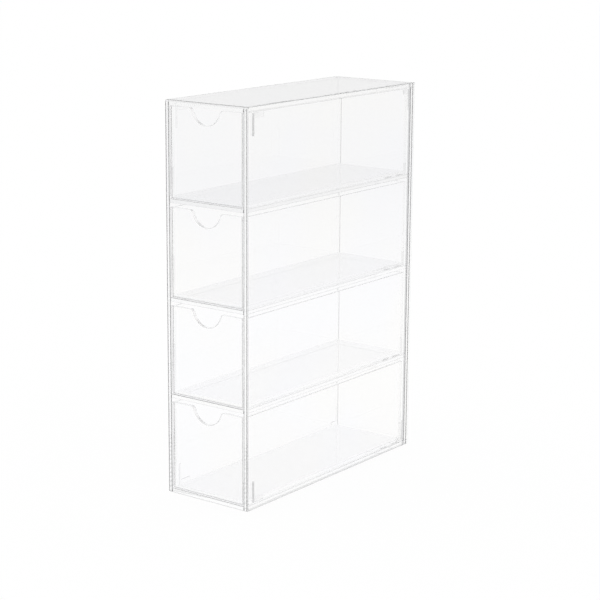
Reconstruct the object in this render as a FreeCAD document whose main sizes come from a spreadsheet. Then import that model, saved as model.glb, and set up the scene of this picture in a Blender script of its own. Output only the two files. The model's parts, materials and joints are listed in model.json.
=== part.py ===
import FreeCAD, Part
import os
import Sketcher

# Clear eyeglass organizer: a case of bonded flat panels with a column of drawers.
# Millimetres. +X is right, -Y is the front, +Z is up. The origin is the centre of the underside.

doc = FreeCAD.newDocument("eyeglass_organizer")

# Driving sizes
SIZES = (
    ("case_width", 63.3, "outside width of the case"),
    ("case_depth", 175.0, "outside depth of the case"),
    ("case_height", 246.0, "outside height of the case"),
    ("drawer_count", 4, "number of drawers, one above the other"),
    ("side_thick", 3.0, "thickness of the two side panels"),
    ("top_thick", 3.0, "thickness of the top panel"),
    ("bottom_thick", 3.0, "thickness of the bottom panel"),
    ("back_thick", 3.0, "thickness of the back panel"),
    ("shelf_thick", 2.5, "thickness of a shelf"),
    ("case_round", 0.8, "rounding of the case's outer edges"),
    ("brow_round", 1.5, "rounding of the case's upper front edge"),
    ("rear_round", 0.7, "rounding of the case's rear edges"),
    ("sill_round", 0.6, "rounding of the upper front edge below each drawer"),
    ("shelf_round", 0.3, "rounding of the lower front edge of a shelf"),
    ("side_gap", 0.8, "running gap beside a drawer, each side"),
    ("run_gap", 0.3, "running gap under a drawer"),
    ("headroom", 2.4, "gap between a drawer and the shelf above it"),
    ("top_headroom", 0.5, "gap between the highest drawer and the top panel"),
    ("rear_gap", 2.5, "gap between a drawer and the back panel"),
    ("front_thick", 2.5, "thickness of a drawer front"),
    ("wall_thick", 2.0, "thickness of a drawer's sides and back"),
    ("floor_thick", 2.0, "thickness of a drawer's floor"),
    ("front_round", 1.4, "rounding of a drawer front's lower edge"),
    ("drawer_round", 0.3, "rounding of a drawer's other outer edges and of its notch"),
    ("notch_radius", 11.0, "radius of the finger notch"),
    ("notch_depth", 10.0, "depth of the finger notch below the top edge"),
    ("notch_shoulder", 3.0, "rounding where the notch meets the top edge"),
    ("rib_clear", 0.4, "gap left between the locating ribs and a drawer"),
    ("rib_round", 0.25, "rounding of the ribs' raised edges"),
    ("corner_rib_width", 1.8, "width of a corner rib's upright leg"),
    ("corner_rib_tall", 3.0, "height of a corner rib's level leg"),
    ("corner_rib_upright", 13.5, "length of a corner rib's upright leg"),
    ("corner_rib_level", 10.5, "length of a front corner rib's level leg"),
    ("corner_rib_short", 7.5, "length of a rear corner rib's level leg"),
    ("corner_rib_front", 6.35, "distance of the front corner ribs from the front edge"),
    ("corner_rib_inset", 1.0, "distance of the corner ribs from the top, bottom and back panels"),
    ("level_rib_length", 7.5, "length of the short ribs at each level"),
    ("level_rib_thick", 1.0, "height of the short ribs above their shelf"),
    ("level_rib_gap", 5.5, "space between the two short ribs of a level"),
    ("level_rib_inset", 7.5, "distance of the short ribs from the back panel"),
)

# Sizes that follow from the driving ones
FITS = (
    ("inner_width", "Sizes.case_width - 2 * Sizes.side_thick"),
    ("inner_height", "Sizes.case_height - Sizes.top_thick - Sizes.bottom_thick"),
    ("shelf_depth", "Sizes.case_depth - Sizes.back_thick"),
    ("left_inner", "Sizes.side_thick - Sizes.case_width / 2"),
    ("front_plane", "-Sizes.case_depth / 2"),
    ("back_plane", "Sizes.case_depth / 2 - Sizes.back_thick"),
    ("top_plane", "Sizes.case_height - Sizes.top_thick"),
    ("drawer_width", "inner_width - 2 * Sizes.side_gap"),
    ("drawer_depth", "shelf_depth - Sizes.rear_gap"),
    ("gaps_height", "Sizes.drawer_count * Sizes.run_gap + Sizes.top_headroom"),
    ("shelves_height", "(Sizes.drawer_count - 1) * (Sizes.shelf_thick + Sizes.headroom)"),
    ("drawer_height", "(inner_height - gaps_height - shelves_height) / Sizes.drawer_count"),
    ("level_pitch", "Sizes.run_gap + drawer_height + Sizes.headroom + Sizes.shelf_thick"),
    ("drawer_left", "left_inner + Sizes.side_gap"),
    ("wall_depth", "drawer_depth - Sizes.front_thick"),
    ("between_walls", "drawer_width - 2 * Sizes.wall_thick"),
    ("floor_depth", "wall_depth - Sizes.wall_thick"),
    ("notch_rise", "drawer_height + Sizes.notch_radius - Sizes.notch_depth"),
    ("rib_proud", "Sizes.side_gap - Sizes.rib_clear"),
    ("corner_low", "Sizes.bottom_thick + Sizes.corner_rib_inset"),
    ("corner_high", "top_plane - Sizes.corner_rib_inset"),
    ("corner_rear", "shelf_depth - Sizes.corner_rib_inset"),
    ("level_rib_rear", "shelf_depth - Sizes.level_rib_inset - Sizes.level_rib_length"),
    ("level_rib_step", "Sizes.level_rib_length + Sizes.level_rib_gap"),
)

sizes = doc.addObject("Spreadsheet::Sheet", "Sizes")
for row, (alias, value, note) in enumerate(SIZES, start=1):
    sizes.set(f"A{row}", note)
    sizes.set(f"B{row}", str(value))
    sizes.setAlias(f"B{row}", alias)
doc.recompute()

fits = doc.addObject("Spreadsheet::Sheet", "Fits")
for row, (alias, formula) in enumerate(FITS, start=1):
    fits.set(f"B{row}", "=" + formula)
    fits.setAlias(f"B{row}", alias)
    doc.recompute()

DRAWERS = int(sizes.drawer_count)
NEAR = 1e-3
bodies = []


def new_body(label, x, y, z):
    """An empty body whose place follows three expressions."""
    body = doc.addObject("PartDesign::Body", label)
    body.Label = label
    for axis, place in zip("xyz", (x, y, z)):
        body.setExpression("Placement.Base." + axis, place)
    bodies.append(body)
    return body


def new_sketch(body, name, role):
    """A sketch on one of the body's own origin planes."""
    plane = next(item for item in body.Origin.OriginFeatures if item.Role == role)
    sketch = body.newObject("Sketcher::SketchObject", name)
    sketch.AttachmentSupport = (plane, [""])
    sketch.MapMode = "FlatFace"
    return sketch


def bind_distance(sketch, name, expression, constraint):
    """A distance constraint with a name, bound to an expression."""
    index = sketch.addConstraint(Sketcher.Constraint(*constraint, 9.0))
    sketch.renameConstraint(index, name)
    sketch.setExpression("Constraints." + name, expression)


def draw_rectangle(sketch, wide, tall):
    """A rectangle with one corner at the origin and its two sizes bound to expressions."""
    corners = [FreeCAD.Vector(x, y, 0) for x, y in ((0, 0), (9, 0), (9, 9), (0, 9))]
    for start, end in zip(corners, corners[1:] + corners[:1]):
        sketch.addGeometry(Part.LineSegment(start, end))
    for line, direction in enumerate(("Horizontal", "Vertical", "Horizontal", "Vertical")):
        sketch.addConstraint(Sketcher.Constraint("Coincident", line, 2, (line + 1) % 4, 1))
        sketch.addConstraint(Sketcher.Constraint(direction, line))
    sketch.addConstraint(Sketcher.Constraint("Coincident", 0, 1, -1, 1))
    bind_distance(sketch, "wide", wide, ("DistanceX", 0, 1, 0, 2))
    bind_distance(sketch, "tall", tall, ("DistanceY", 1, 1, 1, 2))


# A panel is drawn on the plane it lies in: upright from the side, upright from the front, or level.
PLANES = {"side": "YZ_Plane", "front": "XZ_Plane", "level": "XY_Plane"}


def new_panel(label, lies, wide, tall, thick, place):
    """A flat rectangular panel from its local origin towards +X, +Y and +Z, put where place says."""
    body = new_body(label, *place)
    sketch = new_sketch(body, label + "_outline", PLANES[lies])
    draw_rectangle(sketch, wide, tall)
    pad = body.newObject("PartDesign::Pad", label + "_sheet")
    pad.Profile = sketch
    pad.setExpression("Length", thick)
    pad.Reversed = lies == "front"
    sketch.Visibility = False
    doc.recompute()
    return body


def straight_edges(body, wanted):
    """Names of the edges that run along one axis, at the low or high side of the other two.

    Each wanted edge has a side for X, Y and Z: 0 is low, 1 is high, and None is its own axis."""
    shape = body.Tip.Shape
    box = shape.BoundBox
    low = (box.XMin, box.YMin, box.ZMin)
    high = (box.XMax, box.YMax, box.ZMax)
    names = []
    for number, edge in enumerate(shape.Edges, start=1):
        around = edge.BoundBox
        start = (around.XMin, around.YMin, around.ZMin)
        end = (around.XMax, around.YMax, around.ZMax)
        for sides in wanted:
            goals = [high[i] if side else low[i] for i, side in enumerate(sides)]
            held = [i for i, side in enumerate(sides) if side is not None]
            if all(abs(start[i] - goals[i]) + abs(end[i] - goals[i]) < NEAR for i in held):
                names.append(f"Edge{number}")
    return names


def round_edges(body, name, radius, edges):
    """A fillet of one radius on the named edges of the body's last feature."""
    base = body.Tip
    fillet = body.newObject("PartDesign::Fillet", name)
    fillet.Base = (base, edges)
    fillet.setExpression("Radius", radius)
    doc.recompute()


def add_rib(body, name, along_y, along_z, x, y, z):
    """A low block on a side panel's inner face."""
    rib = body.newObject("PartDesign::AdditiveBox", name)
    rib.setExpression("Length", "Fits.rib_proud")
    rib.setExpression("Width", along_y)
    rib.setExpression("Height", along_z)
    for axis, place in zip("xyz", (x, y, z)):
        rib.setExpression("Placement.Base." + axis, place)
    doc.recompute()


def add_corner_rib(body, name, x, front, low):
    """An L-shaped rib in one corner of a side panel: its legs run along the corner's two edges."""
    width, tall = "Sizes.corner_rib_width", "Sizes.corner_rib_tall"
    upright = "Sizes.corner_rib_upright"
    level = "Sizes.corner_rib_level" if front else "Sizes.corner_rib_short"
    edge_y = "Sizes.corner_rib_front" if front else "Fits.corner_rear"
    edge_z = "Fits.corner_low" if low else "Fits.corner_high"
    upright_y = edge_y if front else f"{edge_y} - {width}"
    upright_z = edge_z if low else f"{edge_z} - {upright}"
    level_y = edge_y if front else f"{edge_y} - {level}"
    level_z = edge_z if low else f"{edge_z} - {tall}"
    add_rib(body, name + "_upright", width, upright, x, upright_y, upright_z)
    add_rib(body, name + "_level", level, tall, x, level_y, level_z)


def raised_edges(body, outer):
    """Every edge of the ribs' raised faces, which lie furthest from the panel's outer face."""
    shape = body.Tip.Shape
    raised = shape.BoundBox.XMin if outer else shape.BoundBox.XMax
    return [
        f"Edge{number}"
        for number, edge in enumerate(shape.Edges, start=1)
        if abs(edge.BoundBox.XMin - raised) + abs(edge.BoundBox.XMax - raised) < NEAR
    ]


def make_side_panel(side):
    """A side panel with its outer edges rounded and its locating ribs on the inner face."""
    right = side == "right"
    label = side + "_side_panel"
    x = "Sizes.case_width / 2 - Sizes.side_thick" if right else "-Sizes.case_width / 2"
    body = new_panel(label, "side", "Sizes.case_depth", "Sizes.case_height",
                     "Sizes.side_thick", (x, "Fits.front_plane", "0"))
    outer = 1 if right else 0
    rounds = (
        ("brow_round", [(None, 0, 1)]),
        ("case_round", [(outer, None, 0), (outer, None, 1), (outer, 0, None), (None, 0, 0)]),
        ("rear_round", [(outer, 1, None), (None, 1, 0), (None, 1, 1)]),
    )
    for radius, edges in rounds:
        round_edges(body, f"{label}_{radius}", "Sizes." + radius, straight_edges(body, edges))
    face = "-Fits.rib_proud" if right else "Sizes.side_thick"
    for front in (True, False):
        for low in (True, False):
            corner = f"{label}_{'front' if front else 'rear'}_{'low' if low else 'high'}"
            add_corner_rib(body, corner, face, front, low)
    for level in range(DRAWERS):
        for place in range(2):
            add_rib(body, f"{label}_rib_{level}_{place}", "Sizes.level_rib_length",
                    "Sizes.level_rib_thick", face,
                    f"Fits.level_rib_rear - {place} * Fits.level_rib_step",
                    f"Sizes.bottom_thick + {level} * Fits.level_pitch")
    round_edges(body, label + "_rib_round", "Sizes.rib_round", raised_edges(body, outer))


def make_level_panel(label, depth, thick, z, rounds):
    """The top, the bottom or a shelf: a level panel between the two side panels.

    Each of its rounds is a radius and the edges that it goes round."""
    body = new_panel(label, "level", "Fits.inner_width", depth, thick,
                     ("Fits.left_inner", "Fits.front_plane", z))
    for radius, edges in rounds:
        name = label + "_" + radius.split(".")[1]
        round_edges(body, name, radius, straight_edges(body, edges))


def make_case():
    for side in ("left", "right"):
        make_side_panel(side)
    front_low, front_high, rear_low, rear_high = ((None, y, z) for y in (0, 1) for z in (0, 1))
    sill = ("Sizes.sill_round", [front_high])
    make_level_panel("top_panel", "Sizes.case_depth", "Sizes.top_thick", "Fits.top_plane",
                     [("Sizes.brow_round", [front_high]), ("Sizes.rear_round", [rear_high])])
    make_level_panel("bottom_panel", "Sizes.case_depth", "Sizes.bottom_thick", "0",
                     [("Sizes.case_round", [front_low]), ("Sizes.rear_round", [rear_low]), sill])
    for level in range(1, DRAWERS):
        make_level_panel(f"shelf_{level}", "Fits.shelf_depth", "Sizes.shelf_thick",
                         f"Sizes.bottom_thick + {level} * Fits.level_pitch - Sizes.shelf_thick",
                         [sill, ("Sizes.shelf_round", [front_low])])
    new_panel("back_panel", "front", "Fits.inner_width", "Fits.inner_height", "Sizes.back_thick",
              ("Fits.left_inner", "Fits.back_plane", "Sizes.bottom_thick"))


def cut_notch(body, label):
    """The round finger notch in the top edge of a drawer front, with its two shoulders rounded."""
    sketch = new_sketch(body, label + "_notch_outline", PLANES["front"])
    sketch.addGeometry(Part.Circle(FreeCAD.Vector(9, 9, 0), FreeCAD.Vector(0, 0, 1), 9))
    index = sketch.addConstraint(Sketcher.Constraint("Radius", 0, 9.0))
    sketch.renameConstraint(index, "round")
    sketch.setExpression("Constraints.round", "Sizes.notch_radius")
    bind_distance(sketch, "middle", "Fits.drawer_width / 2", ("DistanceX", -1, 1, 0, 3))
    bind_distance(sketch, "rise", "Fits.notch_rise", ("DistanceY", -1, 1, 0, 3))
    whole = body.Tip.Shape.Volume
    pocket = body.newObject("PartDesign::Pocket", label + "_notch")
    pocket.Profile = sketch
    pocket.Type = "ThroughAll"
    sketch.Visibility = False
    doc.recompute()
    if pocket.Shape.Volume > whole - NEAR:
        raise RuntimeError(label + ": the notch cuts nothing")
    middle = float(fits.drawer_width) / 2
    corners = [
        f"Edge{number}"
        for number, edge in enumerate(pocket.Shape.Edges, start=1)
        if abs(edge.BoundBox.ZMin - float(fits.drawer_height)) < NEAR
        and abs(edge.BoundBox.XMax - edge.BoundBox.XMin) < NEAR
        and abs(edge.CenterOfMass.x - middle) < float(sizes.notch_radius)
    ]
    round_edges(body, label + "_shoulders", "Sizes.notch_shoulder", corners)


def front_face_edges(body):
    """The front face's edges but the lower one, and the curved edges of the notch on the rear face."""
    shape = body.Tip.Shape
    names = []
    for number, edge in enumerate(shape.Edges, start=1):
        box = edge.BoundBox
        flat = box.YMax - box.YMin < NEAR
        curved = not isinstance(edge.Curve, (Part.Line, Part.LineSegment))
        lower = box.ZMax < float(sizes.front_round) + NEAR and not curved
        if flat and not lower and (box.YMax < NEAR or curved):
            names.append(f"Edge{number}")
    return names


def make_drawer(number):
    name = f"drawer_{number}"
    bottom = f"Sizes.bottom_thick + {number - 1} * Fits.level_pitch + Sizes.run_gap"
    behind = "Fits.front_plane + Sizes.front_thick"
    height = "Fits.drawer_height"
    front = new_panel(name + "_front", "front", "Fits.drawer_width", height,
                      "Sizes.front_thick", ("Fits.drawer_left", "Fits.front_plane", bottom))
    edges = straight_edges(front, [(None, 0, 0)])
    round_edges(front, name + "_front_low", "Sizes.front_round", edges)
    cut_notch(front, name + "_front")
    round_edges(front, name + "_front_round", "Sizes.drawer_round", front_face_edges(front))
    for side in ("left", "right"):
        label = f"{name}_{side}_side"
        outer = 1 if side == "right" else 0
        x = "Fits.drawer_left"
        if outer:
            x += " + Fits.drawer_width - Sizes.wall_thick"
        wall = new_panel(label, "side", "Fits.wall_depth", height, "Sizes.wall_thick",
                         (x, behind, bottom))
        edges = [(outer, None, 0), (outer, None, 1), (1 - outer, None, 1), (outer, 1, None)]
        round_edges(wall, label + "_round", "Sizes.drawer_round", straight_edges(wall, edges))
    inside = "Fits.drawer_left + Sizes.wall_thick"
    back = new_panel(name + "_back", "front", "Fits.between_walls", height, "Sizes.wall_thick",
                     (inside, behind + " + Fits.floor_depth", bottom))
    edges = [(None, 0, 1), (None, 1, 1), (None, 1, 0)]
    round_edges(back, name + "_back_round", "Sizes.drawer_round", straight_edges(back, edges))
    new_panel(name + "_floor", "level", "Fits.between_walls", "Fits.floor_depth",
              "Sizes.floor_thick", (inside, behind, bottom))


def check_document():
    """Stops before anything is written if an object failed or a sub-part has no sound solid."""
    doc.recompute()
    for item in doc.Objects:
        if "Invalid" in item.State or "Error" in item.State:
            raise RuntimeError(f"{item.Label} failed: {item.State}")
    for body in bodies:
        shape = body.Shape
        if shape.isNull() or not shape.isValid() or len(shape.Solids) != 1:
            raise RuntimeError(f"{body.Label} has no sound solid")


def write_parts():
    os.makedirs("parts", exist_ok=True)
    for body in bodies:
        body.Shape.exportStep(f"parts/{body.Label}.step")


make_case()
for number in range(1, DRAWERS + 1):
    make_drawer(number)
check_document()
write_parts()
print(f"{len(bodies)} sub-parts, drawer {float(fits.drawer_width):.2f} wide,",
      f"{float(fits.drawer_depth):.2f} deep and {float(fits.drawer_height):.2f} high")
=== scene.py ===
import json
import math

import bpy
from bpy.props import FloatProperty, FloatVectorProperty, PointerProperty
from mathutils import Matrix, Vector

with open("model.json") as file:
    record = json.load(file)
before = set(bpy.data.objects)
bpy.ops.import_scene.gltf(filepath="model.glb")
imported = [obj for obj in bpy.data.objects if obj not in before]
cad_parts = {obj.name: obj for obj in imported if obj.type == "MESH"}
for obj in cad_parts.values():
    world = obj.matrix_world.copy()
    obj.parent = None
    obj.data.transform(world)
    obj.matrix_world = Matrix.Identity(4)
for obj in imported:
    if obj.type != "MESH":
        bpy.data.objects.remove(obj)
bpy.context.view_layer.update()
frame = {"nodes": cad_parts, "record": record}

bl_info = {
    "name": "Clear Eyeglass Organizer",
    "version": (1, 0, 0),
    "blender": (4, 5, 0),
    "location": "View3D > Sidebar > Organizer",
    "description": "Clear acrylic sheet for a case of bonded panels with a column of drawers",
    "category": "Object",
}

SIDE_PANELS = ("left_side_panel", "right_side_panel")
# The ways that an edge can run, in the order of the shares in the settings
EDGE_WAYS = ("Upright", "Across", "Deep", "Curved")

# Metres from the middle to the inner face of a side panel, without its ribs
INNER_FACE = 0.02865
# Metres that the strips on a side panel stay in from its rounded edges
STRIP_INSET = 0.0007
# Metres within which two points of a mesh become one
WELD_DISTANCE = 0.000001
# Faces that meet at more than this keep a sharp edge
SHARP_ANGLE = math.radians(50)

# Where the painted edge shade and the painted rim shade set in and are full: nought faces the eye, one is
# edge-on
EDGE_TURN = (0.28, 0.6)
RIM_TURN = (0.68, 0.9)
# Share of the painted edge shade that a rounded edge has where it faces the eye
FACING_SHARE = 0.04
# The painted shade of the ribs and the colour of the cement show in full behind the first number of faces,
# and as the share behind the second
NEAR_FACES = (2.0, 3.0)
FAR_SHARE = 0.15
# Roughness of a wiping mark at full strength
MARK_ROUGHNESS = 0.03

# Light crosses dozens of faces, and is thrown back by many, before it leaves the case
LIGHT_BOUNCES = 160
# Metres that the floor lies below the case
FLOOR_DROP = 0.000016
# Metres from the case between which the floor darkens, as the plastic shows it
FLOOR_FADE = (0.3, 1.3)
# Millimetres of film that the camera's lens is given for
FILM_WIDTH = 36.0
# Metres from the camera at which the picture starts
NEAR_CLIP = 0.01


# Settings

class SheetLook(bpy.types.PropertyGroup):
    tint: FloatVectorProperty(
        name="Tint", description="Colour of the light that crosses the sheet",
        subtype="COLOR", default=(0.995, 0.9955, 0.999), min=0.0, max=1.0)
    warm_tint: FloatVectorProperty(
        name="Warm tint", description="Colour of the light where the cast sheet is a little warmer",
        subtype="COLOR", default=(0.997, 0.996, 0.994), min=0.0, max=1.0)
    # Painted shade on level faces, in place of the grey that they reflect when seen at a grazing angle
    level_shade_tint: FloatVectorProperty(
        name="Level tint", description="Colour of the light that crosses a level face and its film of dust",
        subtype="COLOR", default=(0.962, 0.962, 0.967), min=0.0, max=1.0)
    # Painted shade on the top panel, deeper than on the other level faces
    top_shade_tint: FloatVectorProperty(
        name="Top tint", description="Colour of the light that crosses the top panel, where more dust lies",
        subtype="COLOR", default=(0.919, 0.919, 0.923), min=0.0, max=1.0)
    # Painted shade on rounded edges and on the strips beside sharp edges, in place of the dark surroundings
    # that real edges bend into view
    edge_shade_tint: FloatVectorProperty(
        name="Edge tint", description="Colour of the light that crosses a rounded or buffed edge",
        subtype="COLOR", default=(0.03, 0.03, 0.032), min=0.0, max=1.0)
    # Painted shade on the raised ribs, in place of the dark lines that their edges bend into view
    rib_shade_tint: FloatVectorProperty(
        name="Rib tint", description="Colour of the light that crosses a raised rib",
        subtype="COLOR", default=(0.42, 0.42, 0.43), min=0.0, max=1.0)
    bead_tint: FloatVectorProperty(
        name="Bead tint", description="Colour of the light that crosses the bead of cement at the back panel",
        subtype="COLOR", default=(0.46, 0.46, 0.47), min=0.0, max=1.0)
    # The three shares below set how much painted edge shade each kind of edge takes
    round_shares: FloatVectorProperty(
        name="Rounded edges", size=4, default=(1.0, 0.62, 0.30, 1.0), min=0.0, max=1.0,
        description="Share of the edge tint where rounded edges turn away: upright, across, deep and curved")
    soft_shares: FloatVectorProperty(
        name="Soft edges", size=4, default=(0.0, 0.22, 0.12, 0.1), min=0.0, max=1.0,
        description="Share of the edge tint all over rounded edges: upright, across, deep and curved")
    strip_shares: FloatVectorProperty(
        name="Edge strips", size=3, default=(0.85, 0.05, 0.30), min=0.0, max=1.0,
        description="Share of the edge tint on the flat strips beside upright, across and deep edges")
    # Painted shade on the rims, which also darkens what they reflect
    rim_shade_tint: FloatVectorProperty(
        name="Rim tint", description="Colour of all light off a rounded edge, deeper where it turns away",
        subtype="COLOR", default=(0.32, 0.32, 0.33), min=0.0, max=1.0)
    refraction: FloatProperty(
        name="Refraction", description="Index of refraction of cast acrylic", default=1.49, min=1.0, max=2.0)
    # Width of the strips of painted edge shade beside the sharp edges
    strip_width: FloatProperty(
        name="Strip width", description="Width of the buffed strip beside each sharp edge of a sheet",
        subtype="DISTANCE", default=0.0004, min=0.0)
    deep_tint: FloatVectorProperty(
        name="Deep tint", description="Colour that a long way inside the sheet takes on",
        subtype="COLOR", default=(0.80, 0.82, 0.84), min=0.0, max=1.0)
    deep_density: FloatProperty(
        name="Deep density", description="How fast the deep tint builds up, per metre", default=0.3, min=0.0)
    wave_size: FloatProperty(
        name="Wave size", description="Distance between the slow waves of the sheet's faces",
        subtype="DISTANCE", default=0.045, min=0.001)
    wave_height: FloatProperty(
        name="Wave height", description="Height of the slow waves",
        subtype="DISTANCE", default=0.0000005, min=0.0)
    mark_strength: FloatProperty(
        name="Marks", description="Strength of the wiping marks",
        subtype="FACTOR", default=0.4, min=0.0, max=1.0)
    joint_gap: FloatProperty(
        name="Joint gap", description="Distance that each face stays back from the piece it touches",
        subtype="DISTANCE", default=0.00002, min=0.0)


class StudioLook(bpy.types.PropertyGroup):
    floor_size: FloatProperty(
        name="Floor size", description="Width of the square floor", subtype="DISTANCE", default=8.0, min=0.5)
    floor_shade: FloatProperty(
        name="Floor shade", description="Share of light that the floor sends back", subtype="FACTOR",
        default=0.03, min=0.0, max=1.0)
    light_level: FloatProperty(
        name="Light level", description="Strength of the light from all sides", default=1.0, min=0.0)
    far_level: FloatProperty(
        name="Far level", description="Brightness of the far floor as the plastic shows it",
        subtype="FACTOR", default=0.947, min=0.0, max=1.0)
    low_level: FloatProperty(
        name="Low level", description="Brightness of the surroundings just above level, in reflections",
        subtype="FACTOR", default=0.89, min=0.0, max=1.0)
    high_grey: FloatProperty(
        name="High grey", description="Brightness of the surroundings straight above, in reflections",
        subtype="FACTOR", default=0.55, min=0.0, max=1.0)
    camera_place: FloatVectorProperty(
        name="Camera place", description="Where the camera stands, from the centre of the underside",
        subtype="TRANSLATION", unit="LENGTH", default=(0.67304, -0.89231, 0.37090))
    camera_azimuth: FloatProperty(
        name="Camera azimuth", description="Turn of the view round the object", subtype="ANGLE",
        default=math.radians(36.835))
    camera_elevation: FloatProperty(
        name="Camera elevation", description="Tilt of the view above level", subtype="ANGLE",
        default=math.radians(13.05))
    camera_roll: FloatProperty(
        name="Camera roll", description="Turn of the picture about the line of sight", subtype="ANGLE",
        default=math.radians(0.375))
    camera_lens: FloatProperty(
        name="Camera lens", description="Focal length on a 36 mm wide film", default=107.454, min=1.0)


# Shader node groups

def new_group(name, inputs, outputs, kind="NodeSocketFloat"):
    """An empty shader node group with float inputs, and its input and output nodes."""
    group = bpy.data.node_groups.new(name, "ShaderNodeTree")
    for socket, value in inputs:
        item = group.interface.new_socket(socket, in_out="INPUT", socket_type="NodeSocketFloat")
        item.default_value = value
    for socket in outputs:
        group.interface.new_socket(socket, in_out="OUTPUT", socket_type=kind)
    return group, group.nodes.new("NodeGroupInput"), group.nodes.new("NodeGroupOutput")


def feed(tree, socket, value):
    """Links an output to an input, or sets the input to a plain value."""
    if isinstance(value, bpy.types.NodeSocket):
        tree.links.new(value, socket)
    else:
        socket.default_value = value


def math_node(tree, operation, first, second=0.0):
    """A Math node whose two inputs are numbers or sockets; returns its result."""
    node = tree.nodes.new("ShaderNodeMath")
    node.operation = operation
    feed(tree, node.inputs[0], first)
    feed(tree, node.inputs[1], second)
    return node.outputs[0]


def ramp_node(tree, value, low, high, out_low=0.0, out_high=1.0):
    """A smooth Map Range node; returns its result."""
    node = tree.nodes.new("ShaderNodeMapRange")
    node.interpolation_type = "SMOOTHSTEP"
    for socket, setting in zip(node.inputs[:5], (value, low, high, out_low, out_high)):
        feed(tree, socket, setting)
    return node.outputs[0]


def vector_node(tree, operation, first, second=None):
    """A Vector Math node on a socket and, where it takes two, a socket or a triple; returns its result."""
    node = tree.nodes.new("ShaderNodeVectorMath")
    node.operation = operation
    tree.links.new(first, node.inputs[0])
    if second is not None:
        feed(tree, node.inputs[1], second)
    return node.outputs["Value" if operation in ("LENGTH", "DOT_PRODUCT") else "Vector"]


def split_node(tree, vector):
    """The three parts of a vector."""
    node = tree.nodes.new("ShaderNodeSeparateXYZ")
    tree.links.new(vector, node.inputs[0])
    return node.outputs[0], node.outputs[1], node.outputs[2]


def join_node(tree, parts):
    """A vector of three sockets."""
    node = tree.nodes.new("ShaderNodeCombineXYZ")
    for socket, part in zip(node.inputs, parts):
        tree.links.new(part, socket)
    return node.outputs[0]


def between(tree, value, low, high):
    """One where a value lies between two sockets, else nought."""
    above = math_node(tree, "GREATER_THAN", value, low)
    return math_node(tree, "MULTIPLY", above, math_node(tree, "LESS_THAN", value, high))


def rounded_edge_group():
    """Mask of the painted shade on rounded edges, with a share for each way that they run.

    The turn is how far a face's direction is from the nearest axis, and an edge runs along the axis
    that its direction has no part of."""
    flat, along_low, along_high = 0.002, 0.1, 0.3
    inputs = (("Turn for full mask", 0.05), *((way, 1.0) for way in EDGE_WAYS))
    group, start, end = new_group("Rounded edge", inputs, ("Mask",))
    place = group.nodes.new("ShaderNodeTexCoord")
    x, y, z = split_node(group, vector_node(group, "ABSOLUTE", place.outputs["Normal"]))
    largest = math_node(group, "MAXIMUM", math_node(group, "MAXIMUM", x, y), z)
    turn = math_node(group, "SUBTRACT", 1.0, largest)
    mask = ramp_node(group, turn, flat, start.outputs[0])
    share = start.outputs["Curved"]
    for part, way in zip((z, x, y), EDGE_WAYS):
        own = start.outputs[way]
        along = ramp_node(group, part, along_low, along_high, 1.0, 0.0)
        change = math_node(group, "SUBTRACT", own, share)
        share = math_node(group, "ADD", share, math_node(group, "MULTIPLY", along, change))
    group.links.new(math_node(group, "MULTIPLY", mask, share), end.inputs[0])
    return group


def edge_strip_group():
    """Masks of the painted shade on the flat strips beside upright, across and deep edges of a box-shaped
    sheet.

    Each sheet carries its own two corners, sheet_low and sheet_high."""
    inputs = (("Width", 0.0005), ("Soft width", 1.3))
    group, start, end = new_group("Edge strip", inputs, ("Masks",), "NodeSocketVector")
    place = group.nodes.new("ShaderNodeTexCoord")
    sides = []
    for corner in ("sheet_low", "sheet_high"):
        value = group.nodes.new("ShaderNodeAttribute")
        value.attribute_type = "OBJECT"
        value.attribute_name = corner
        away = vector_node(group, "SUBTRACT", place.outputs["Object"], value.outputs["Vector"])
        sides.append(vector_node(group, "ABSOLUTE", away))
    x, y, z = split_node(group, vector_node(group, "MINIMUM", *sides))
    wide = math_node(group, "MULTIPLY", start.outputs[0], start.outputs[1])
    parts = []
    for first, second in ((x, y), (y, z), (x, z)):
        away = math_node(group, "MAXIMUM", first, second)
        parts.append(ramp_node(group, away, start.outputs[0], wide, 1.0, 0.0))
    group.links.new(join_node(group, parts), end.inputs[0])
    return group


def level_face_group():
    """Mask of the faces that lie level, where shade is painted on what is seen through them."""
    inputs = (("Tilted", 0.9), ("Level", 0.999))
    group, start, end = new_group("Level face", inputs, ("Mask",))
    place = group.nodes.new("ShaderNodeTexCoord")
    upright = math_node(group, "ABSOLUTE", split_node(group, place.outputs["Normal"])[2])
    group.links.new(ramp_node(group, upright, *start.outputs[:2]), end.inputs["Mask"])
    return group


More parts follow.
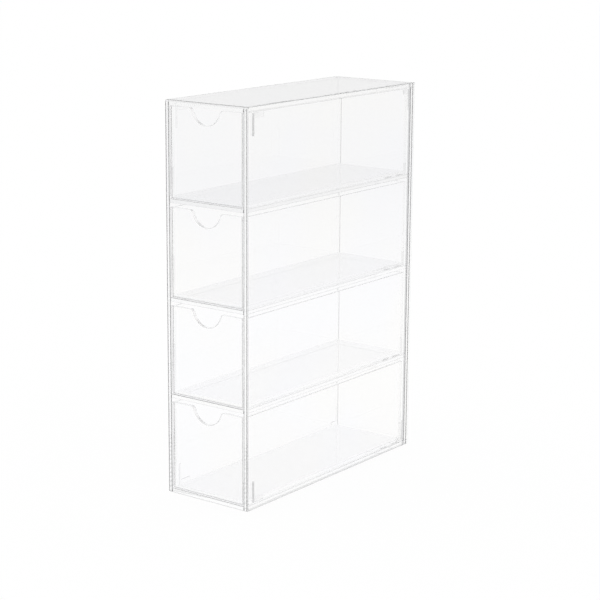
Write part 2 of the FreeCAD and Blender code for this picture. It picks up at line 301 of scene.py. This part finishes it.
def inner_face_group():
    """Masks on the inner face of a side panel: its raised ribs, where shade is painted, and the bead of
    cement at the back panel.

    The upright legs of the corner ribs take the full mask, the level legs and the short ribs a share."""
    inputs = (("Rib from the middle", 0.0286), ("Face from the middle", 0.0288),
              ("Front leg to", -0.0792), ("Rear leg from", 0.0815), ("Level share", 0.18),
              ("Short ribs from", 0.056), ("Short ribs to", 0.0772), ("Short rib share", 0.7),
              ("Bead from", 0.0822), ("Bead to", 0.0846))
    group, start, end = new_group("Inner face", inputs, ("Ribs", "Bead"))
    given = start.outputs
    place = group.nodes.new("ShaderNodeTexCoord")
    x, y = split_node(group, place.outputs["Object"])[:2]
    size = math_node(group, "ABSOLUTE", x)
    rib = math_node(group, "LESS_THAN", size, given["Rib from the middle"])
    front = math_node(group, "LESS_THAN", y, given["Front leg to"])
    rear = math_node(group, "GREATER_THAN", y, given["Rear leg from"])
    short = between(group, y, given["Short ribs from"], given["Short ribs to"])
    share = math_node(group, "MAXIMUM", math_node(group, "MAXIMUM", front, rear), given["Level share"])
    share = math_node(group, "MAXIMUM", share, math_node(group, "MULTIPLY", short, given["Short rib share"]))
    group.links.new(math_node(group, "MULTIPLY", rib, share), end.inputs["Ribs"])
    face = math_node(group, "LESS_THAN", size, given["Face from the middle"])
    bead = between(group, y, given["Bead from"], given["Bead to"])
    group.links.new(math_node(group, "MULTIPLY", face, bead), end.inputs["Bead"])
    return group


def cast_patch_group():
    """Mask of the broad soft patches where the cast sheet is a little warmer."""
    inputs = (("Scale", 14.0), ("Patch from", 0.42), ("Full at", 0.62))
    group, start, end = new_group("Cast patches", inputs, ("Mask",))
    place = group.nodes.new("ShaderNodeTexCoord")
    patches = group.nodes.new("ShaderNodeTexNoise")
    patches.inputs["Detail"].default_value = 1.0
    group.links.new(place.outputs["Object"], patches.inputs["Vector"])
    group.links.new(start.outputs[0], patches.inputs["Scale"])
    group.links.new(ramp_node(group, patches.outputs[0], *start.outputs[1:3]), end.inputs["Mask"])
    return group


def slow_wave_group():
    """Height of the slow waves that cast sheet keeps from its mould, in metres."""
    inputs = (("Wave size", 0.045), ("Wave height", 0.00001))
    group, start, end = new_group("Slow waves", inputs, ("Height",))
    place = group.nodes.new("ShaderNodeTexCoord")
    noise = group.nodes.new("ShaderNodeTexNoise")
    noise.inputs["Detail"].default_value = 1.0
    noise.inputs["Roughness"].default_value = 0.35
    group.links.new(place.outputs["Object"], noise.inputs["Vector"])
    group.links.new(math_node(group, "DIVIDE", 1.0, start.outputs[0]), noise.inputs["Scale"])
    centred = math_node(group, "SUBTRACT", noise.outputs[0], 0.5)
    group.links.new(math_node(group, "MULTIPLY", centred, start.outputs[1]), end.inputs["Height"])
    return group


def wiping_mark_group():
    """Mask of faint wiping marks: long soft streaks that only show in places."""
    inputs = (("Streak scale", 600.0), ("Patch scale", 28.0), ("Streak from", 0.62), ("Full streak at", 0.75),
              ("Patch from", 0.5), ("Full patch at", 0.7))
    group, start, end = new_group("Wiping marks", inputs, ("Mask",))
    place = group.nodes.new("ShaderNodeTexCoord")
    stretch = group.nodes.new("ShaderNodeMapping")
    stretch.inputs["Rotation"].default_value = tuple(math.radians(turn) for turn in (24, 31, 17))
    stretch.inputs["Scale"].default_value = (1.0, 0.04, 1.0)
    group.links.new(place.outputs["Object"], stretch.inputs["Vector"])
    streaks = group.nodes.new("ShaderNodeTexNoise")
    streaks.inputs["Detail"].default_value = 2.0
    group.links.new(stretch.outputs[0], streaks.inputs["Vector"])
    group.links.new(start.outputs[0], streaks.inputs["Scale"])
    patches = group.nodes.new("ShaderNodeTexNoise")
    patches.inputs["Detail"].default_value = 1.0
    group.links.new(place.outputs["Object"], patches.inputs["Vector"])
    group.links.new(start.outputs[1], patches.inputs["Scale"])
    thin = ramp_node(group, streaks.outputs[0], *start.outputs[2:4])
    some = ramp_node(group, patches.outputs[0], *start.outputs[4:6])
    group.links.new(math_node(group, "MULTIPLY", thin, some), end.inputs["Mask"])
    return group


def place_group(tree, name, **values):
    """A node of one of the groups above, with its named inputs set."""
    node = tree.nodes.new("ShaderNodeGroup")
    node.node_tree = bpy.data.node_groups[name]
    for socket, value in values.items():
        node.inputs[socket.replace("_", " ")].default_value = value
    return node


# Materials

def mix_colour(tree, mask, first, second):
    """A colour mix by a mask; each colour is a triple or a socket. Returns its result."""
    node = tree.nodes.new("ShaderNodeMix")
    node.data_type = "RGBA"
    for name, value in (("A", first), ("B", second)):
        plain = not isinstance(value, bpy.types.NodeSocket)
        feed(tree, node.inputs[name], (*value, 1.0) if plain else value)
    tree.links.new(mask, node.inputs["Factor"])
    return node.outputs["Result"]


def edge_masks(tree, look, shaded_strips):
    """Masks of the painted edge shade as a whole, and of the painted rim shade alone, where a rounded edge
    turns edge-on.
    """
    turns, soft = (place_group(tree, "Rounded edge", **dict(zip(EDGE_WAYS, shares))).outputs["Mask"]
                   for shares in (look.round_shares, look.soft_shares))
    strips = place_group(tree, "Edge strip", Width=look.strip_width).outputs["Masks"]
    shares = look.strip_shares if shaded_strips else (0.0, 0.0, 0.0)
    facing = tree.nodes.new("ShaderNodeLayerWeight").outputs["Facing"]
    turned = math_node(tree, "MULTIPLY", turns, ramp_node(tree, facing, *EDGE_TURN, FACING_SHARE, 1.0))
    flat = math_node(tree, "SUBTRACT", 1.0, turns)
    strip = math_node(tree, "MULTIPLY", vector_node(tree, "DOT_PRODUCT", strips, shares), flat)
    edges = math_node(tree, "MAXIMUM", math_node(tree, "MAXIMUM", turned, soft), strip)
    return edges, math_node(tree, "MULTIPLY", turned, ramp_node(tree, facing, *RIM_TURN))


def sheet_material(name, look, level_shade_tint=None, shaded_strips=True, ribbed=False):
    """Clear acrylic sheet: polished faces, painted shade on rounded edges and rims, slow waves and faint
    wiping marks.

    The painted edge shade and the painted shade of level faces tint only what is seen straight through, not
    in a reflection inside the plastic."""
    material = bpy.data.materials.new(name)
    material.use_nodes = True
    tree = material.node_tree
    shader = tree.nodes["Principled BSDF"]
    shader.inputs["Transmission Weight"].default_value = 1.0
    shader.inputs["IOR"].default_value = look.refraction
    path = tree.nodes.new("ShaderNodeLightPath")
    straight = math_node(tree, "LESS_THAN", path.outputs["Glossy Depth"], 0.5)

    colour = mix_colour(tree, place_group(tree, "Cast patches").outputs["Mask"], look.tint, look.warm_tint)
    # Painted shade on level faces, only on what is seen straight through
    level_shading = math_node(tree, "MULTIPLY", place_group(tree, "Level face").outputs["Mask"], straight)
    colour = mix_colour(tree, level_shading, colour, level_shade_tint or look.level_shade_tint)
    edges, rim = edge_masks(tree, look, shaded_strips)
    # Painted edge shade, only on what is seen straight through
    colour = mix_colour(tree, math_node(tree, "MULTIPLY", edges, straight), colour, look.edge_shade_tint)
    if ribbed:
        inner = place_group(tree, "Inner face")
        near = ramp_node(tree, path.outputs["Transmission Depth"], *NEAR_FACES, 1.0, FAR_SHARE)
        # Painted shade on the ribs, and the colour of the cement bead
        for output, tint in (("Ribs", look.rib_shade_tint), ("Bead", look.bead_tint)):
            part = math_node(tree, "MULTIPLY", inner.outputs[output], near)
            colour = mix_colour(tree, part, colour, tint)
    tree.links.new(colour, shader.inputs["Base Color"])

    # A coat that bends no light, whose tint paints shade on the rims, so that it also darkens what they
    # reflect
    shader.inputs["Coat IOR"].default_value = 1.0
    shader.inputs["Coat Tint"].default_value = (*look.rim_shade_tint, 1.0)
    tree.links.new(math_node(tree, "MULTIPLY", rim, straight), shader.inputs["Coat Weight"])

    marks = place_group(tree, "Wiping marks")
    rough = ramp_node(tree, marks.outputs["Mask"], 0.0, 1.0, 0.0, MARK_ROUGHNESS * look.mark_strength)
    tree.links.new(rough, shader.inputs["Roughness"])
    waves = place_group(tree, "Slow waves", Wave_size=look.wave_size, Wave_height=look.wave_height)
    bump = tree.nodes.new("ShaderNodeBump")
    bump.inputs["Distance"].default_value = 1.0
    tree.links.new(waves.outputs["Height"], bump.inputs["Height"])
    tree.links.new(bump.outputs["Normal"], shader.inputs["Normal"])
    deep = tree.nodes.new("ShaderNodeVolumeAbsorption")
    deep.inputs["Color"].default_value = (*look.deep_tint, 1.0)
    deep.inputs["Density"].default_value = look.deep_density
    tree.links.new(deep.outputs[0], tree.nodes["Material Output"].inputs["Volume"])
    return material


def dress(node, material, look):
    """Gives a solid its material, closes its mesh and keeps it a hair away from what it touches.

    The two corners that it carries tell the edge strips where its sheet ends."""
    piece = frame["nodes"][node]
    piece.data.materials[0] = material
    low, high = (Vector(piece.bound_box[corner]) for corner in (0, 6))
    if node in SIDE_PANELS:
        if low.x > 0:
            low.x, high.x = INNER_FACE, high.x - STRIP_INSET
        else:
            low.x, high.x = low.x + STRIP_INSET, -INNER_FACE
        high.y -= STRIP_INSET
        low.z += STRIP_INSET
    piece["sheet_low"], piece["sheet_high"] = list(low), list(high)
    weld = piece.modifiers.new("Closed mesh", "WELD")
    weld.merge_threshold = WELD_DISTANCE
    shrink = piece.modifiers.new("Joint gap", "DISPLACE")
    shrink.strength = -look.joint_gap
    shrink.mid_level = 0.0
    split = piece.modifiers.new("Sharp edges", "EDGE_SPLIT")
    split.split_angle = SHARP_ANGLE
    shading = piece.modifiers.new("Flat faces stay flat", "WEIGHTED_NORMAL")
    shading.weight = 100


# Stage

def studio_world(studio):
    """Even white light for the floor; in the plastic the surroundings turn grey towards straight above.

    Each stop is a height, from nought level to one straight above, and the brightness there."""
    world = bpy.data.worlds.new("Studio")
    bpy.context.scene.world = world
    world.use_nodes = True
    tree = world.node_tree
    back = tree.nodes["Background"]
    place = tree.nodes.new("ShaderNodeTexCoord")
    stops = ((0.0, 1.0), (0.04, 1.0), (0.10, studio.low_level), (0.17, studio.low_level),
             (0.27, 1.0), (0.4, 1.0), (1.0, studio.high_grey))
    seen = tree.nodes.new("ShaderNodeValToRGB")
    for height, level in stops[2:]:
        seen.color_ramp.elements.new(height)
    for element, (height, level) in zip(seen.color_ramp.elements, stops):
        element.position = height
        element.color = (level, level, level, 1.0)
    tree.links.new(split_node(tree, place.outputs["Generated"])[2], seen.inputs[0])
    path = tree.nodes.new("ShaderNodeLightPath")
    direct = math_node(tree, "MAXIMUM", path.outputs["Is Camera Ray"], path.outputs["Is Diffuse Ray"])
    strength = tree.nodes.new("ShaderNodeMix")
    tree.links.new(direct, strength.inputs[0])
    tree.links.new(seen.outputs[0], strength.inputs[2])
    strength.inputs[3].default_value = studio.light_level
    back.inputs["Color"].default_value = (1.0, 1.0, 1.0, 1.0)
    tree.links.new(strength.outputs[0], back.inputs["Strength"])


def floor_material(studio):
    """A pale floor that is white to the eye, keeps the object's shadow and darkens far off in the plastic."""
    material = bpy.data.materials.new("Pale floor")
    material.use_nodes = True
    tree = material.node_tree
    tree.nodes.remove(tree.nodes["Principled BSDF"])
    soft = tree.nodes.new("ShaderNodeBsdfDiffuse")
    soft.inputs["Color"].default_value = (*(studio.floor_shade,) * 3, 1.0)
    glow = tree.nodes.new("ShaderNodeEmission")
    path = tree.nodes.new("ShaderNodeLightPath")
    place = tree.nodes.new("ShaderNodeNewGeometry")
    away = vector_node(tree, "LENGTH", place.outputs["Position"])
    far = ramp_node(tree, away, *FLOOR_FADE, 1.0, studio.far_level)
    far = math_node(tree, "MAXIMUM", far, path.outputs["Is Camera Ray"])
    seen = math_node(tree, "SUBTRACT", 1.0, path.outputs["Is Diffuse Ray"])
    fill = math_node(tree, "MULTIPLY", math_node(tree, "MULTIPLY", seen, far), 1.0 - studio.floor_shade)
    tree.links.new(fill, glow.inputs["Strength"])
    both = tree.nodes.new("ShaderNodeAddShader")
    tree.links.new(soft.outputs[0], both.inputs[0])
    tree.links.new(glow.outputs[0], both.inputs[1])
    tree.links.new(both.outputs[0], tree.nodes["Material Output"].inputs["Surface"])
    return material


def make_floor(studio):
    """A square floor just below the case."""
    half = studio.floor_size / 2
    corners = [(x * half, y * half, -FLOOR_DROP) for x, y in ((-1, -1), (1, -1), (1, 1), (-1, 1))]
    mesh = bpy.data.meshes.new("floor")
    mesh.from_pydata(corners, [], [(0, 1, 2, 3)])
    floor = bpy.data.objects.new("floor", mesh)
    bpy.context.scene.collection.objects.link(floor)
    mesh.materials.append(floor_material(studio))


def make_camera(studio):
    """A camera at the photograph's viewing angle."""
    azimuth, elevation = studio.camera_azimuth, studio.camera_elevation
    back = Vector((math.sin(azimuth) * math.cos(elevation),
                   -math.cos(azimuth) * math.cos(elevation), math.sin(elevation)))
    right = Vector((0, 0, 1)).cross(back).normalized()
    up = back.cross(right)
    turn = Matrix.Rotation(studio.camera_roll, 3, "Z")
    axes = Matrix((right, up, back)).transposed() @ turn
    data = bpy.data.cameras.new("Camera")
    data.sensor_width = FILM_WIDTH
    data.lens = studio.camera_lens
    data.clip_start = NEAR_CLIP
    camera = bpy.data.objects.new("Camera", data)
    camera.matrix_world = Matrix.Translation(studio.camera_place) @ axes.to_4x4()
    bpy.context.scene.collection.objects.link(camera)
    bpy.context.scene.camera = camera


# Operators

class ORGANIZER_OT_groups(bpy.types.Operator):
    """Build the shader node groups that every sheet uses"""
    bl_idname = "organizer.groups"
    bl_label = "Shader groups"

    def execute(self, context):
        rounded_edge_group()
        edge_strip_group()
        level_face_group()
        inner_face_group()
        cast_patch_group()
        slow_wave_group()
        wiping_mark_group()
        return {"FINISHED"}


class ORGANIZER_OT_case(bpy.types.Operator):
    """Dress the five outer panels of the case and its shelves"""
    bl_idname = "organizer.case"
    bl_label = "Case"

    def execute(self, context):
        look = context.scene.organizer_case
        plain = sheet_material("Panel acrylic", look)
        ribbed = sheet_material("Side panel acrylic", look, ribbed=True)
        # The top panel takes a deeper painted shade on its level faces
        level_shading = sheet_material("Top panel acrylic", look, level_shade_tint=look.top_shade_tint)
        for node in frame["record"]["behaviour"]["bodies"]["case"]:
            material = ribbed if node in SIDE_PANELS else level_shading if node == "top_panel" else plain
            dress(node, material, look)
        return {"FINISHED"}


class ORGANIZER_OT_drawers(bpy.types.Operator):
    """Dress the five panels of every drawer"""
    bl_idname = "organizer.drawers"
    bl_label = "Drawers"

    def execute(self, context):
        look = context.scene.organizer_drawer
        fronts = sheet_material("Drawer front acrylic", look)
        # The drawer walls take no painted shade on strips beside their sharp edges
        walls = sheet_material("Drawer acrylic", look, shaded_strips=False)
        for body, nodes in frame["record"]["behaviour"]["bodies"].items():
            if body != "case":
                for node in nodes:
                    dress(node, fronts if node.endswith("front") else walls, look)
        return {"FINISHED"}


class ORGANIZER_OT_stage(bpy.types.Operator):
    """Set the camera, the floor and the light"""
    bl_idname = "organizer.stage"
    bl_label = "Stage"

    def execute(self, context):
        scene = context.scene
        scene.view_settings.view_transform = "Standard"
        scene.cycles.max_bounces = LIGHT_BOUNCES
        scene.cycles.transmission_bounces = LIGHT_BOUNCES
        scene.cycles.glossy_bounces = LIGHT_BOUNCES
        studio = scene.organizer_studio
        make_camera(studio)
        make_floor(studio)
        studio_world(studio)
        return {"FINISHED"}


class ORGANIZER_PT_panel(bpy.types.Panel):
    bl_label = "Eyeglass Organizer"
    bl_space_type = "VIEW_3D"
    bl_region_type = "UI"
    bl_category = "Organizer"

    def draw(self, context):
        for step in STEPS:
            self.layout.operator(step)


STEPS = ("organizer.groups", "organizer.case", "organizer.drawers", "organizer.stage")
CLASSES = (SheetLook, StudioLook, ORGANIZER_OT_groups, ORGANIZER_OT_case, ORGANIZER_OT_drawers,
           ORGANIZER_OT_stage, ORGANIZER_PT_panel)


def register():
    for item in CLASSES:
        bpy.utils.register_class(item)
    bpy.types.Scene.organizer_case = PointerProperty(type=SheetLook)
    bpy.types.Scene.organizer_drawer = PointerProperty(type=SheetLook)
    bpy.types.Scene.organizer_studio = PointerProperty(type=StudioLook)


def unregister():
    del bpy.types.Scene.organizer_studio
    del bpy.types.Scene.organizer_drawer
    del bpy.types.Scene.organizer_case
    for item in reversed(CLASSES):
        bpy.utils.unregister_class(item)


def main():
    """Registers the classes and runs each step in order."""
    register()
    bpy.ops.organizer.groups()
    bpy.ops.organizer.case()
    bpy.ops.organizer.drawers()
    bpy.ops.organizer.stage()


if __name__ == "__main__":
    main()
